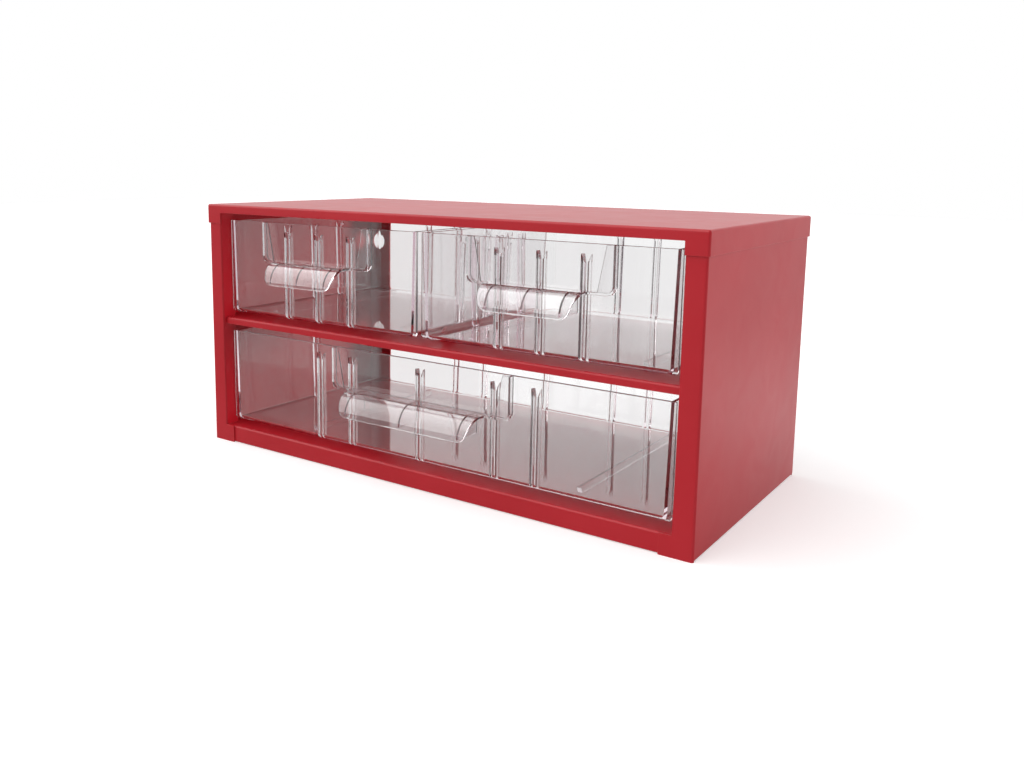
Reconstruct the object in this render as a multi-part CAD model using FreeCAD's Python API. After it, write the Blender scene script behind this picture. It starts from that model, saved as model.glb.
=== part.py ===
# Desktop drawer organizer: a folded sheet steel cabinet, open at the back, with three clear
# moulded drawers: two side by side on a middle shelf and one of full width below them.
# Millimetres. X runs left to right, Y from front to back, Z up.
# The origin lies on the surface it stands on, under the middle of its width and of its depth,
# with the pulls that reach out in front counted in that depth.

import FreeCAD, Part
import math
import os

os.makedirs("parts", exist_ok=True)

# Cabinet
cabinet_width = 306.0
cabinet_depth = 146.0
cabinet_height = 142.0
sheet = 0.8             # thickness of the steel sheet
inner_fold = 0.4        # inner radius of every fold

# Top cover
skirt_height = 11.0     # side skirts and corner tabs, from the top down
lip_height = 5.0        # front and back lips between the corner tabs

# Side panels
stile_width = 10.0      # front flange beside the drawers
return_depth = 9.0      # fold behind the stile, which guides the drawers
foot_tab_width = 16.2   # wider foot of the stile, over the end of the rail
base_flange = 14.0      # flange that the cabinet stands on
back_flange = 19.5      # flange at the back, for hanging on a wall

# Keyhole in each back flange
keyhole_inset = 9.7     # from the outside of the cabinet
keyhole_drop = 30.2     # below the top of the cabinet
keyhole_radius = 5.8    # a screw head goes in here
keyhole_top_radius = 3.2
keyhole_rise = 4.0      # between the two centres

# Bottom panel
bottom_height = 10.0    # its upper face
rail_clearance = 0.4    # under its front and back rails

# Middle shelf, which divides the height into two equal openings
shelf_setback = 3.0     # behind the front of the cabinet
shelf_back_gap = 3.0    # from the shelf to the back of the cabinet
shelf_lip = 4.0
shelf_ear = 9.0         # side flange against the side panel
shelf_gap = 0.4         # between its narrow front and the folds of the side panels

# Centre guide on the shelf, between the upper drawers
guide_start = 23.0      # behind the front edge of the shelf
guide_length = 96.8
guide_height = 6.5      # above the shelf
guide_foot = 7.0
guide_nose = 3.0        # slope at its front end
guide_edge = 0.7        # rounding along its top

# What all drawers share
front_setback = 6.0     # behind the front of the cabinet
back_clearance = 5.4    # from a drawer's back to the back flanges
head_clearance = 4.1    # from a drawer's rim to the lip above it
side_clearance = 2.7    # beside the drawers, at the folds of the side panels
middle_clearance = 3.2  # between the upper drawers
slide_clearance = 0.1   # under the runners
wall = 1.5
floor = 1.4
tub_inset = 1.2         # side walls inside the ends of the front, at the rim
side_draft = 1.2        # how much further in they are at the floor
back_draft = 1.0
tub_corner = 3.0        # outer radius of the corners and of the floor's edge
hollow_corner = 1.6     # the same inside
front_corner = 2.5
front_edge = 0.4
front_foot = 2.5        # outer radius of the front's lower edge, where it turns into the floor
runner_height = 3.0
runner_width = 2.6
runner_front = 14.0     # from the drawer's front to the runner
runner_back = 6.0       # from the runner to the drawer's back
runner_slope = 2.0

# Slots for dividers, each between two ribs
slot_pitch = 23.2
slot_width = 1.7
rib_width = 1.3
rib_depth = 2.3
rib_drop = 5.0          # from the rim to the tips of the ribs
rib_lead_in = 4.0       # height over which a slot widens upwards
rib_tip = 0.3           # width that is left at a rib's tip

# Label holder: a raised frame, open at the top, with two slanted lips
label_height = 21.3     # from the rim down to the top of the ledge
frame_proud = 3.0
frame_width = 1.2
frame_corner = 4.5
frame_inner_corner = 2.0
label_lip = 0.8         # thickness of the slanted lips
label_lip_top = 3.3     # their width at the rim
label_lip_foot = 7.5    # their width at the ledge

# Pull: a curved shell over the fingers, on thin webs, level with the ledge
pull_flat = 7.5         # level part, from the drawer's front
pull_nose = 9.5         # curved part, further out
pull_drop = 11.8        # from the top to the lip
pull_wall = 1.3
pull_taper = 3.5
pull_corner = 3.5
web_thickness = 1.0
web_inset = 6.6         # outer webs inside the ends of the pull
web_rise = 1.2          # underside of the webs above the lip

# Where the two kinds of drawer differ
upper_pull = 52.6
upper_label = 79.0
upper_runner_inset = 21.0
upper_front_slots = (-1, 0, 1)
upper_side_slots = (-1, 0, 1)
lower_pull = 85.6
lower_label = 115.0
lower_runner_inset = 52.5
lower_front_slots = (-3, -2, 0, 2, 3)
lower_side_slots = (0,)

# Sizes and places that follow
fold_radius = inner_fold + sheet
half_width = cabinet_width / 2
pull_reach = pull_flat + pull_nose - front_setback
face_y = (pull_reach - cabinet_depth) / 2
back_y = face_y + cabinet_depth
under_cover = cabinet_height - sheet
skirt_bottom = cabinet_height - skirt_height
lip_bottom = cabinet_height - lip_height
side_out = half_width - sheet
side_in = side_out - sheet
opening_half = side_out - stile_width
opening_height = (lip_bottom - bottom_height - shelf_lip) / 2
shelf_height = bottom_height + opening_height + shelf_lip
ride_height = runner_height + slide_clearance
drawer_height = opening_height - ride_height - head_clearance
drawer_y = face_y + front_setback
drawer_length = back_y - 2 * sheet - back_clearance - drawer_y
lower_width = 2 * (opening_half - side_clearance)
upper_width = (lower_width - middle_clearance) / 2
upper_x = (upper_width + middle_clearance) / 2
slot_pair = slot_width + 2 * rib_width
pull_top = drawer_height - label_height
pull_lip = pull_top - pull_drop
beyond = 1.0            # how far a cutter runs past what it cuts


def block(x_range, y_range, z_range):
    """A box between two values along each axis."""
    corner = FreeCAD.Vector(x_range[0], y_range[0], z_range[0])
    return Part.makeBox(x_range[1] - x_range[0], y_range[1] - y_range[0],
                        z_range[1] - z_range[0], corner)


def prism(points, direction):
    """A flat polygon pushed along a direction."""
    corners = [FreeCAD.Vector(*point) for point in points]
    outline = Part.makePolygon(corners + corners[:1])
    return Part.Face(outline).extrude(FreeCAD.Vector(*direction))


def frustum(foot, rim, z_range):
    """A solid between a rectangle below and one above, each given as X range and Y range."""
    wires = []
    for (x_range, y_range), z in zip((foot, rim), z_range):
        corners = [FreeCAD.Vector(x_range[i], y_range[j], z) for i, j in ((0, 0), (1, 0), (1, 1), (0, 1))]
        wires.append(Part.makePolygon(corners + corners[:1]))
    return Part.makeLoft(wires, True, True)


def rounded(shape, radius, wanted):
    """The shape with every edge whose box passes the test rounded."""
    chosen = [edge for edge in shape.Edges if wanted(edge.BoundBox)]
    return shape.makeFillet(radius, chosen)


def level_at(box, z):
    """True for an edge that lies level at a height."""
    return abs(box.ZMin - z) < 1e-4 and abs(box.ZMax - z) < 1e-4


def fold(path, run):
    """Sheet on the left of a path of right-angled folds, seen from the end of run, pushed along run."""
    points = [FreeCAD.Vector(*point) for point in path]
    along = FreeCAD.Vector(*run)
    axis = FreeCAD.Vector(along).normalize()
    steps = [axis.cross(end - start).normalize() * sheet for start, end in zip(points, points[1:])]
    inner = [points[0] + steps[0]]
    for i in range(1, len(points) - 1):
        inner.append(points[i] + steps[i - 1] + steps[i])
    inner.append(points[-1] + steps[-1])
    outline = Part.makePolygon(points + inner[::-1] + points[:1])
    strip = Part.Face(outline).extrude(along)
    for corners, radius in ((points, fold_radius), (inner, inner_fold)):
        for corner in corners[1:-1]:
            middle = corner + along / 2
            strip = strip.makeFillet(radius, [edge for edge in strip.Edges
                                              if edge.CenterOfMass.distanceToPoint(middle) < 0.01])
    return strip


def mirrored(shape):
    """The same shape on the other side of the middle."""
    return shape.mirror(FreeCAD.Vector(0, 0, 0), FreeCAD.Vector(1, 0, 0))


def make_top_cover():
    """A shallow lid: skirts at the sides, low lips in front and behind, tabs at the corners."""
    outside = block((-half_width, half_width), (face_y, back_y), (skirt_bottom, cabinet_height))
    inside = block((-side_out, side_out), (face_y + sheet, back_y - sheet), (skirt_bottom, under_cover))
    outside = rounded(outside, fold_radius, lambda box: box.ZMax > skirt_bottom + beyond)
    inside = rounded(inside, inner_fold, lambda box: level_at(box, under_cover))
    below_lips = block((-opening_half, opening_half), (face_y - beyond, back_y + beyond),
                       (skirt_bottom - beyond, lip_bottom))
    return outside.cut(inside).cut(below_lips)


def make_keyhole():
    """The cutter of a pear-shaped hole through the left back flange."""
    x = keyhole_inset - half_width
    z = cabinet_height - keyhole_drop
    cutters = []
    for height, radius in ((z, keyhole_radius), (z + keyhole_rise, keyhole_top_radius)):
        start = FreeCAD.Vector(x, back_y - 3 * sheet, height)
        cutters.append(Part.makeCylinder(radius, 3 * sheet, start, FreeCAD.Vector(0, 1, 0)))
    return cutters[0].fuse(cutters[1])


def make_left_side_panel():
    """Stile with its fold inwards, the side itself, the back flange and the base flange."""
    front = face_y + sheet
    back = back_y - sheet
    behind = front + sheet
    inward = -opening_half
    path = [(back_flange - side_out, back, 0), (-side_out, back, 0), (-side_out, front, 0),
            (inward, front, 0), (inward, front + return_depth, 0)]
    panel = fold(path, (0, 0, under_cover - inner_fold))
    below_return = block((inward - fold_radius, inward + beyond),
                         (front - beyond, front + return_depth + beyond), (-beyond, bottom_height))
    foot_tab = block((inward - fold_radius - beyond, foot_tab_width - side_out), (front, behind),
                     (0, bottom_height))
    base = block((-side_in, base_flange - side_out), (behind + sheet, back - 2 * sheet), (0, sheet))
    panel = panel.cut(below_return).fuse([foot_tab, base]).removeSplitter()
    return panel.cut(make_keyhole())


def make_bottom_panel():
    """The plate under the lower drawer, folded down in front and behind."""
    front = face_y + 2 * sheet
    back = back_y - 2 * sheet
    end = side_in - inner_fold
    path = [(-end, back, rail_clearance), (-end, back, bottom_height),
            (-end, front, bottom_height), (-end, front, rail_clearance)]
    return fold(path, (2 * end, 0, 0))


def make_middle_shelf():
    """The plate under the upper drawers, narrow in front, with ears against the side panels."""
    front = face_y + shelf_setback
    back = back_y - shelf_back_gap
    wide_from = face_y + sheet + return_depth + shelf_gap
    narrow = opening_half - shelf_gap
    foot = shelf_height - shelf_lip
    path = [(-narrow, back, foot), (-narrow, back, shelf_height),
            (-narrow, front, shelf_height), (-narrow, front, foot)]
    plate = fold(path, (2 * narrow, 0, 0))
    foot = shelf_height - shelf_ear
    path = [(-side_in, wide_from, foot), (-side_in, wide_from, shelf_height),
            (side_in, wide_from, shelf_height), (side_in, wide_from, foot)]
    ears = fold(path, (0, back - 2 * fold_radius - wide_from, 0))
    return plate.fuse(ears).removeSplitter()


def make_centre_guide():
    """A low fin folded double, on two feet that lie on the shelf."""
    start = face_y + shelf_setback + guide_start
    end = start + guide_length
    top = shelf_height + guide_height
    fin = block((-sheet, sheet), (start, end), (shelf_height, top))
    fin = rounded(fin, guide_edge, lambda box: level_at(box, top) and box.YLength > guide_height)
    feet = block((-guide_foot, guide_foot), (start, end), (shelf_height, shelf_height + sheet))
    nose = prism([(-guide_foot, start, top - guide_nose), (-guide_foot, start, top),
                  (-guide_foot, start + guide_nose, top)], (2 * guide_foot, 0, 0))
    return fin.fuse(feet).cut(nose).removeSplitter()


def slot_ribs(draft):
    """Two ribs about X 0 on a wall whose face, leaning by a draft, passes Y 0 at the rim and faces +Y."""
    tip_z = drawer_height - rib_drop
    ribs = []
    for side in (-1, 1):
        inner = side * slot_width / 2
        outer = side * slot_pair / 2
        outline = [(inner, -wall / 2, floor / 2), (outer, -wall / 2, floor / 2), (outer, -wall / 2, tip_z),
                   (outer - side * rib_tip, -wall / 2, tip_z), (inner, -wall / 2, tip_z - rib_lead_in)]
        ribs.append(prism(outline, (0, wall / 2 + rib_depth, 0)))
    pair = ribs[0].fuse(ribs[1])
    lean = math.degrees(math.atan2(draft, drawer_height))
    pair.rotate(FreeCAD.Vector(0, 0, drawer_height), FreeCAD.Vector(1, 0, 0), lean)
    return pair


def placed_ribs(turn, x, y, draft):
    """A pair of ribs turned about the vertical and moved to its wall."""
    pair = slot_ribs(draft)
    pair.rotate(FreeCAD.Vector(0, 0, 0), FreeCAD.Vector(0, 0, 1), turn)
    pair.translate(FreeCAD.Vector(x, y, 0))
    return pair


def pull_body(pull_half, inset):
    """What lies under the outside of a pull, or with an inset what lies under its shell."""
    top = pull_top - inset
    nose_y = inset - pull_flat - pull_nose
    corners = [(-pull_half, -pull_flat, top), (-pull_half, nose_y, top), (-pull_half, nose_y, pull_lip)]
    poles = [FreeCAD.Vector(*corner) for corner in corners]
    quarter = Part.BezierCurve()
    quarter.setPoles(poles)
    quarter.setWeight(2, math.sqrt(0.5))
    ends = [FreeCAD.Vector(-pull_half, wall / 2, pull_lip), FreeCAD.Vector(-pull_half, wall / 2, top)]
    straight = Part.makePolygon([poles[2]] + ends + [poles[0]])
    outline = Part.Wire([quarter.toShape()] + straight.Edges)
    return Part.Face(outline).extrude(FreeCAD.Vector(2 * pull_half, 0, 0))


def make_pull(pull_half):
    """The shell and webs of a pull, in front of a wall whose outer face is at Y 0."""
    hollow = pull_body(pull_half, pull_wall)
    shell = pull_body(pull_half, 0).cut(hollow)
    reach = pull_flat + pull_nose + beyond
    lip_half = pull_half - pull_taper
    above = pull_top + beyond
    outline = [(-pull_half, -reach, above), (-pull_half, -reach, pull_top), (-lip_half, -reach, pull_lip),
               (lip_half, -reach, pull_lip), (pull_half, -reach, pull_top), (pull_half, -reach, above)]
    mask = prism(outline, (0, reach + wall, 0))
    mask = rounded(mask, pull_corner, lambda box: level_at(box, pull_lip) and box.YLength > reach)
    pieces = []
    for x in (web_inset - pull_half, 0, pull_half - web_inset):
        blade = block((x - web_thickness / 2, x + web_thickness / 2), (-reach, wall / 2),
                      (pull_lip + web_rise, pull_top))
        pieces.append(hollow.common(blade))
    return shell.common(mask).fuse(pieces)


def make_label_frame(frame_half):
    """A raised frame with its legs up to the rim and a slanted lip inside each leg."""
    foot = pull_top - frame_width
    inner = frame_half - frame_width
    outside = block((-frame_half, frame_half), (-frame_proud, wall / 2), (foot, drawer_height))
    outside = rounded(outside, frame_corner, lambda box: level_at(box, foot) and box.XLength < beyond)
    inside = block((-inner, inner), (-frame_proud, wall / 2), (pull_top, drawer_height + beyond))
    inside = rounded(inside, frame_inner_corner, lambda box: level_at(box, pull_top) and box.XLength < beyond)
    frame = outside.cut(inside)
    lips = []
    for side in (-1, 1):
        hidden = side * (inner + frame_width / 2)
        lip_foot = foot + frame_width / 2
        outline = [(hidden, lip_foot), (side * (inner - label_lip_foot), lip_foot),
                   (side * (inner - label_lip_top), drawer_height), (hidden, drawer_height)]
        lip = prism([(x, -frame_proud, z) for x, z in outline], (0, label_lip, 0))
        lips.append(lip.common(outside))
    return frame.fuse(lips)


def make_foot_cutter(width):
    """What lies outside the round lower edge of a drawer's front."""
    reach = width / 2 + beyond
    corner = block((-reach, reach), (-beyond, front_foot), (-beyond, front_foot))
    start = FreeCAD.Vector(-reach, front_foot, front_foot)
    return corner.cut(Part.makeCylinder(front_foot, 2 * reach, start, FreeCAD.Vector(1, 0, 0)))


def make_runner(x):
    """A bar under the floor with sloped ends."""
    near = runner_front
    far = drawer_length - runner_back
    left = x - runner_width / 2
    return prism([(left, near, floor / 2), (left, near + runner_slope, -runner_height),
                  (left, far - runner_slope, -runner_height), (left, far, floor / 2)], (runner_width, 0, 0))


def make_drawer(width, pull_width, label_width, front_slots, side_slots, runner_inset):
    """One drawer about X 0, its front at Y 0 and the underside of its floor at Z 0."""
    rim = width / 2 - tub_inset
    foot = rim - side_draft
    foot_back = drawer_length - back_draft
    z_range = (0, drawer_height)
    tub = frustum(((-foot, foot), (wall / 2, foot_back)), ((-rim, rim), (wall / 2, drawer_length)), z_range)
    tub = rounded(tub, tub_corner, lambda box: box.YMax > wall and box.ZMin < floor / 2)
    hollow = frustum(((wall - foot, foot - wall), (wall, foot_back - wall)),
                     ((wall - rim, rim - wall), (wall, drawer_length - wall)), (floor, drawer_height))
    hollow = rounded(hollow, hollow_corner, lambda box: box.ZMin < floor + beyond)
    above = block((wall - rim, rim - wall), (wall, drawer_length - wall),
                  (drawer_height, drawer_height + beyond))
    front = block((-width / 2, width / 2), (0, wall), z_range)
    front = rounded(front, front_corner, lambda box: level_at(box, 0) and box.XLength < beyond)
    front = rounded(front, front_edge, lambda box: box.YMax < wall / 2)
    tub = tub.fuse(front).cut(hollow.fuse(above))
    added = [make_pull(pull_width / 2), make_label_frame(label_width / 2)]
    for index in front_slots:
        x = index * slot_pitch
        added.append(placed_ribs(0, x, wall, 0))
        added.append(placed_ribs(180, x, drawer_length - wall, back_draft))
    for index in side_slots:
        y = drawer_length / 2 + index * slot_pitch
        added.append(placed_ribs(-90, wall - rim, y, side_draft))
        added.append(placed_ribs(90, rim - wall, y, side_draft))
    for side in (-1, 1):
        added.append(make_runner(side * (width / 2 - runner_inset)))
    return tub.fuse(added).cut(make_foot_cutter(width)).removeSplitter()


def save(name, shape):
    """Writes one piece and prints what it holds."""
    print(name, "solids", len(shape.Solids), "valid", shape.isValid(), "volume", round(shape.Volume, 1))
    shape.exportStep("parts/" + name + ".step")


left_side_panel = make_left_side_panel()
save("top_cover", make_top_cover())
save("left_side_panel", left_side_panel)
save("right_side_panel", mirrored(left_side_panel))
save("bottom_panel", make_bottom_panel())
save("middle_shelf", make_middle_shelf())
save("centre_guide", make_centre_guide())

upper_drawer = make_drawer(upper_width, upper_pull, upper_label, upper_front_slots, upper_side_slots,
                           upper_runner_inset)
for name, side in (("upper_left_drawer", -1), ("upper_right_drawer", 1)):
    drawer = upper_drawer.copy()
    drawer.translate(FreeCAD.Vector(side * upper_x, drawer_y, shelf_height + ride_height))
    save(name, drawer)
lower_drawer = make_drawer(lower_width, lower_pull, lower_label, lower_front_slots, lower_side_slots,
                           lower_runner_inset)
lower_drawer.translate(FreeCAD.Vector(0, drawer_y, bottom_height + ride_height))
save("lower_drawer", lower_drawer)
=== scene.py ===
# %% [markdown]
# # A steel cabinet with three clear drawers
#
# This lesson dresses a small desktop drawer organizer. Its cabinet is folded from thin red
# sheet steel, and its three drawers are clear plastic mouldings. The construction is already
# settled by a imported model, which is loaded here as a fixed frame: every piece made below lies
# exactly where its solid lies, in metres, and rides on the body that carries it.

import math

import bmesh
import bpy
from mathutils import Matrix, Vector
from mathutils.geometry import tessellate_polygon


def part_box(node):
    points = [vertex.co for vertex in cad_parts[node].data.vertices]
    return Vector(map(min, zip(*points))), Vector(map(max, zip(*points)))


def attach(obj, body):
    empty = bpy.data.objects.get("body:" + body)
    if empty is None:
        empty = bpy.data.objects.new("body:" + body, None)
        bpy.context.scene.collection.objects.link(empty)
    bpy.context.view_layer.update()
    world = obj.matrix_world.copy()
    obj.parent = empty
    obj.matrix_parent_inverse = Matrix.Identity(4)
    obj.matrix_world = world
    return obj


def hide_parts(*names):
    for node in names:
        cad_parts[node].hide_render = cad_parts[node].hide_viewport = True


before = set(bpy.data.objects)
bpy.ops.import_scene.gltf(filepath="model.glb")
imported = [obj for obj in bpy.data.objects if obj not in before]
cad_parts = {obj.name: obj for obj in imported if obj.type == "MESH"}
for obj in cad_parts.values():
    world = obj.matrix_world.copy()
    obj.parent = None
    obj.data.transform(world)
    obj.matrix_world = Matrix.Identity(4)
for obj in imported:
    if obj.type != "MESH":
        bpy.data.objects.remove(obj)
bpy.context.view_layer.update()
MM = 0.001
print("nodes:", sorted(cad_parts))

# %% [markdown]
# ## The view
#
# The camera stands in front of the cabinet and to its right, a little above its top. Its place,
# its turn and its lens were worked out from the cabinet's corners in the photograph, so that the
# render can be laid over it. The picture's axis doesn't pass through the middle of the picture,
# so the lens is shifted rather than turned, which keeps the upright edges as they are. Turn, dip
# and tilt are in radians.

# %% Camera
PICTURE_WIDTH = 1024
PICTURE_HEIGHT = 768
SENSOR_WIDTH = 36.0
FOCAL_PIXELS = 935.27
AXIS_PIXEL = (459.90, 305.80)
CAMERA_PLACE = Vector((288.16, -432.03, 167.59)) * MM
TURN = 0.6164
DIP = 0.152
TILT = 0.011
NEAREST = 0.01


def linked(name, data):
    """A new object in the scene, which shows some data."""
    made = bpy.data.objects.new(name, data)
    bpy.context.scene.collection.objects.link(made)
    return made


def photo_camera():
    """The camera at the photograph's viewing angle."""
    data = bpy.data.cameras.new("photo_camera")
    data.lens = FOCAL_PIXELS / PICTURE_WIDTH * SENSOR_WIDTH
    data.sensor_width = SENSOR_WIDTH
    data.shift_x = 0.5 - AXIS_PIXEL[0] / PICTURE_WIDTH
    data.shift_y = (AXIS_PIXEL[1] - PICTURE_HEIGHT / 2) / PICTURE_WIDTH
    data.clip_start = NEAREST
    camera = linked("photo_camera", data)
    forward = Vector((-math.sin(TURN) * math.cos(DIP), math.cos(TURN) * math.cos(DIP), -math.sin(DIP)))
    level = Vector((math.cos(TURN), math.sin(TURN), 0.0))
    upright = level.cross(forward)
    right = math.cos(TILT) * level + math.sin(TILT) * upright
    up = math.cos(TILT) * upright - math.sin(TILT) * level
    axes = Matrix((right, up, -forward)).transposed()
    camera.matrix_world = Matrix.Translation(CAMERA_PLACE) @ axes.to_4x4()
    return camera


scene = bpy.context.scene
scene.camera = photo_camera()
scene.view_settings.view_transform = "Standard"
print("lens:", round(scene.camera.data.lens, 2), "mm")

# %% [markdown]
# ## Two small helpers for node trees
#
# Materials and shapes below are both trees of nodes. `Graph.node` adds any node: it takes the
# node's type, its settings and what its sockets get, either a value or a link. `Number` wraps a
# socket that carries a number, so that a formula can be written as Python writes it, and each
# operator adds one Math node.

# %% Graph and Number


class Number:
    """A number in a node tree, which Python's operators can work with."""

    def __init__(self, graph, socket):
        self.graph = graph
        self.socket = socket

    def math(self, operation, first, second=0.0):
        node = self.graph.node("ShaderNodeMath", {"operation": operation}, {0: first, 1: second})
        return Number(self.graph, node.outputs[0])

    def __add__(self, other):
        return self.math("ADD", self, other)

    def __sub__(self, other):
        return self.math("SUBTRACT", self, other)

    def __rsub__(self, other):
        return self.math("SUBTRACT", other, self)

    def __mul__(self, other):
        return self.math("MULTIPLY", self, other)

    def __truediv__(self, other):
        return self.math("DIVIDE", self, other)

    def __pow__(self, other):
        return self.math("POWER", self, other)

    __radd__ = __add__
    __rmul__ = __mul__

    def larger(self, other):
        return self.math("MAXIMUM", self, other)

    def step(self, edge):
        return self.math("GREATER_THAN", self, edge)

    def spread(self, low, high):
        """0 at and below low, 1 at and above high."""
        node = self.graph.node("ShaderNodeMapRange", {"clamp": True}, {0: self, 1: low, 2: high})
        return Number(self.graph, node.outputs[0])


class Graph:
    """A node tree that is built one node at a time."""

    def __init__(self, tree):
        self.tree = tree

    def node(self, kind, settings=None, inputs=None):
        made = self.tree.nodes.new(kind)
        for name, value in (settings or {}).items():
            setattr(made, name, value)
        for key, value in (inputs or {}).items():
            if isinstance(value, Number):
                value = value.socket
            elif isinstance(value, bpy.types.Node):
                value = value.outputs[0]
            if isinstance(value, bpy.types.NodeSocket):
                self.tree.links.new(value, made.inputs[key])
            else:
                made.inputs[key].default_value = value
        return made

    def number(self, kind, settings=None, inputs=None, output=0):
        """The same, and one of the node's outputs as a number."""
        return Number(self, self.node(kind, settings, inputs).outputs[output])


# %% [markdown]
# ## Red enamel
#
# The steel is taken to be powder coated: a hard, smooth, rather glossy paint with a very fine
# orange peel. Its red is a little uneven, and the gloss carries faint cloudy smears. Along the
# folds and cut edges a painted highlight lightens the red, in patches. The edge mask compares the
# true normal with one that a Bevel node has rounded: they differ only close to an edge.

# %% Enamel
DEEP_RED = (174, 22, 34)
LIGHT_RED = (180, 26, 38)
# The paler red and its share below are a painted highlight along folds and cut edges.
EDGE_HIGHLIGHT_RED = (236, 120, 118)
EDGE_HIGHLIGHT_SHARE = 0.35


def linear(red, green, blue):
    """A colour given in the picture's 0 to 255 as the shader's linear one."""
    parts = []
    for value in (red, green, blue):
        share = value / 255
        parts.append(share / 12.92 if share <= 0.04045 else ((share + 0.055) / 1.055) ** 2.4)
    return (*parts, 1.0)


def new_material(name):
    """An empty material, its graph and its output node."""
    material = bpy.data.materials.new(name)
    material.use_nodes = True
    material.node_tree.nodes.clear()
    graph = Graph(material.node_tree)
    return material, graph, graph.node("ShaderNodeOutputMaterial")


def make_enamel():
    material, graph, output = new_material("red_powder_coat")
    place = graph.node("ShaderNodeTexCoord").outputs["Object"]
    noise = "ShaderNodeTexNoise"
    cloud = graph.number(noise, None, {"Vector": place, "Scale": 14.0, "Detail": 3.0})
    smear = graph.number(noise, None, {"Vector": place, "Scale": 55.0, "Detail": 4.0, "Distortion": 1.2})
    peel = graph.number(noise, None, {"Vector": place, "Scale": 900.0, "Detail": 2.0})
    true_normal = graph.node("ShaderNodeNewGeometry").outputs["Normal"]
    soft_normal = graph.node("ShaderNodeBevel", {"samples": 6}, {"Radius": 0.7 * MM})
    facing = graph.node("ShaderNodeVectorMath", {"operation": "DOT_PRODUCT"},
                        {0: true_normal, 1: soft_normal})
    # Edge mask for the painted highlight: a paler red mixed in along folds and cut edges, in patches.
    edge = (1.0 - Number(graph, facing.outputs["Value"])).spread(0.02, 0.25) * smear.spread(0.3, 0.6)
    even = graph.node("ShaderNodeMix", {"data_type": "RGBA"},
                      {0: cloud.spread(0.35, 0.65), 6: linear(*DEEP_RED), 7: linear(*LIGHT_RED)})
    colour = graph.node("ShaderNodeMix", {"data_type": "RGBA"},
                        {0: edge * EDGE_HIGHLIGHT_SHARE, 6: even.outputs[2], 7: linear(*EDGE_HIGHLIGHT_RED)})
    rough = 0.30 + 0.10 * smear + 0.04 * cloud
    bump = graph.node("ShaderNodeBump", None, {"Strength": 0.35, "Distance": 0.02 * MM, "Height": peel})
    paint = graph.node("ShaderNodeBsdfPrincipled", None,
                       {"Base Color": colour.outputs[2], "Roughness": rough, "Normal": bump,
                        "Coat Weight": 0.03 + 0.08 * cloud})
    paint.inputs["Coat Roughness"].default_value = 0.12
    paint.inputs["IOR"].default_value = 1.5
    paint.inputs["Specular IOR Level"].default_value = 0.40
    graph.tree.links.new(paint.outputs[0], output.inputs["Surface"])
    return material


enamel = make_enamel()
print("finish:", enamel.name, len(enamel.node_tree.nodes), "nodes")

# %% [markdown]
# ## Clear polystyrene
#
# The drawers are taken to be moulded from clear polystyrene, with its high index of refraction,
# a slight waviness that bends reflections, and fine scratches. Light from the lamps isn't bent
# through every wall, which would take long to render: lamps see the walls as a faint film. A ray
# that has been mirrored or passed on too often goes straight on, with a faint reddish tint.
# In the photograph the pulls and label holders carry brighter highlights than the walls, so what
# stands in front of a drawer gets a stronger mirror here, from the tips of the pulls to half a
# millimetre before the fronts. The tint and the stronger mirror are choices of look.

# %% Polystyrene
PLASTIC_TINT = (0.960, 0.955, 0.958, 1.0)
PLASTIC_BENDING = 1.58
FILM_TINT = (0.985, 0.985, 0.985, 1.0)
ASTRAY_TINT = (0.97, 0.92, 0.94, 1.0)
MOST_MIRRORINGS = 2.5
MOST_BOUNCES = 9.5
STRONGER_MIRROR = 0.55
MIRROR_REACH = 16.5
mirror_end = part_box("upper_right_drawer")[0][1] / MM + MIRROR_REACH
print("stronger mirror in front of Y", round(mirror_end, 1), "mm")


def make_polystyrene():
    material, graph, output = new_material("clear_polystyrene")
    place = graph.node("ShaderNodeTexCoord").outputs["Object"]
    noise = "ShaderNodeTexNoise"
    wave = graph.number(noise, None, {"Vector": place, "Scale": 30.0, "Detail": 1.0})
    smear = graph.number(noise, None, {"Vector": place, "Scale": 70.0, "Detail": 5.0, "Distortion": 0.8})
    stretched = graph.node("ShaderNodeMapping", None, {"Vector": place, "Scale": (40.0, 900.0, 900.0)})
    scratch = graph.number(noise, None, {"Vector": stretched, "Scale": 1.0, "Detail": 2.0})
    marks = scratch.spread(0.66, 0.74)
    rough = 0.01 + 0.03 * smear.spread(0.45, 0.8) + 0.05 * marks
    height = wave + 0.02 * marks
    bump = graph.node("ShaderNodeBump", None, {"Strength": 0.30, "Distance": 0.12 * MM, "Height": height})
    along = Number(graph, graph.node("ShaderNodeSeparateXYZ", None, {0: place}).outputs["Y"])
    ahead = (mirror_end * MM - along).step(0.0)
    plastic = graph.node("ShaderNodeBsdfPrincipled", None,
                         {"Roughness": rough, "Normal": bump, "Coat Weight": STRONGER_MIRROR * ahead})
    plastic.inputs["Coat Roughness"].default_value = 0.03
    plastic.inputs["Base Color"].default_value = PLASTIC_TINT
    plastic.inputs["Transmission Weight"].default_value = 1.0
    plastic.inputs["IOR"].default_value = PLASTIC_BENDING
    plastic.inputs["Specular IOR Level"].default_value = 0.08
    film = graph.node("ShaderNodeBsdfTransparent", None, {"Color": FILM_TINT})
    path = graph.node("ShaderNodeLightPath").outputs
    astray = graph.node("ShaderNodeBsdfTransparent", None, {"Color": ASTRAY_TINT})
    mirrored = Number(graph, path["Glossy Depth"]).step(MOST_MIRRORINGS)
    bounced = Number(graph, path["Ray Depth"]).step(MOST_BOUNCES)
    lost = mirrored.larger(bounced)
    straight = graph.node("ShaderNodeMixShader", None, {0: lost, 1: plastic, 2: astray})
    both = graph.node("ShaderNodeMixShader", None, {0: path["Is Shadow Ray"], 1: straight, 2: film})
    graph.tree.links.new(both.outputs[0], output.inputs["Surface"])
    return material


polystyrene = make_polystyrene()
print("finish:", polystyrene.name, len(polystyrene.node_tree.nodes), "nodes")

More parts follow.
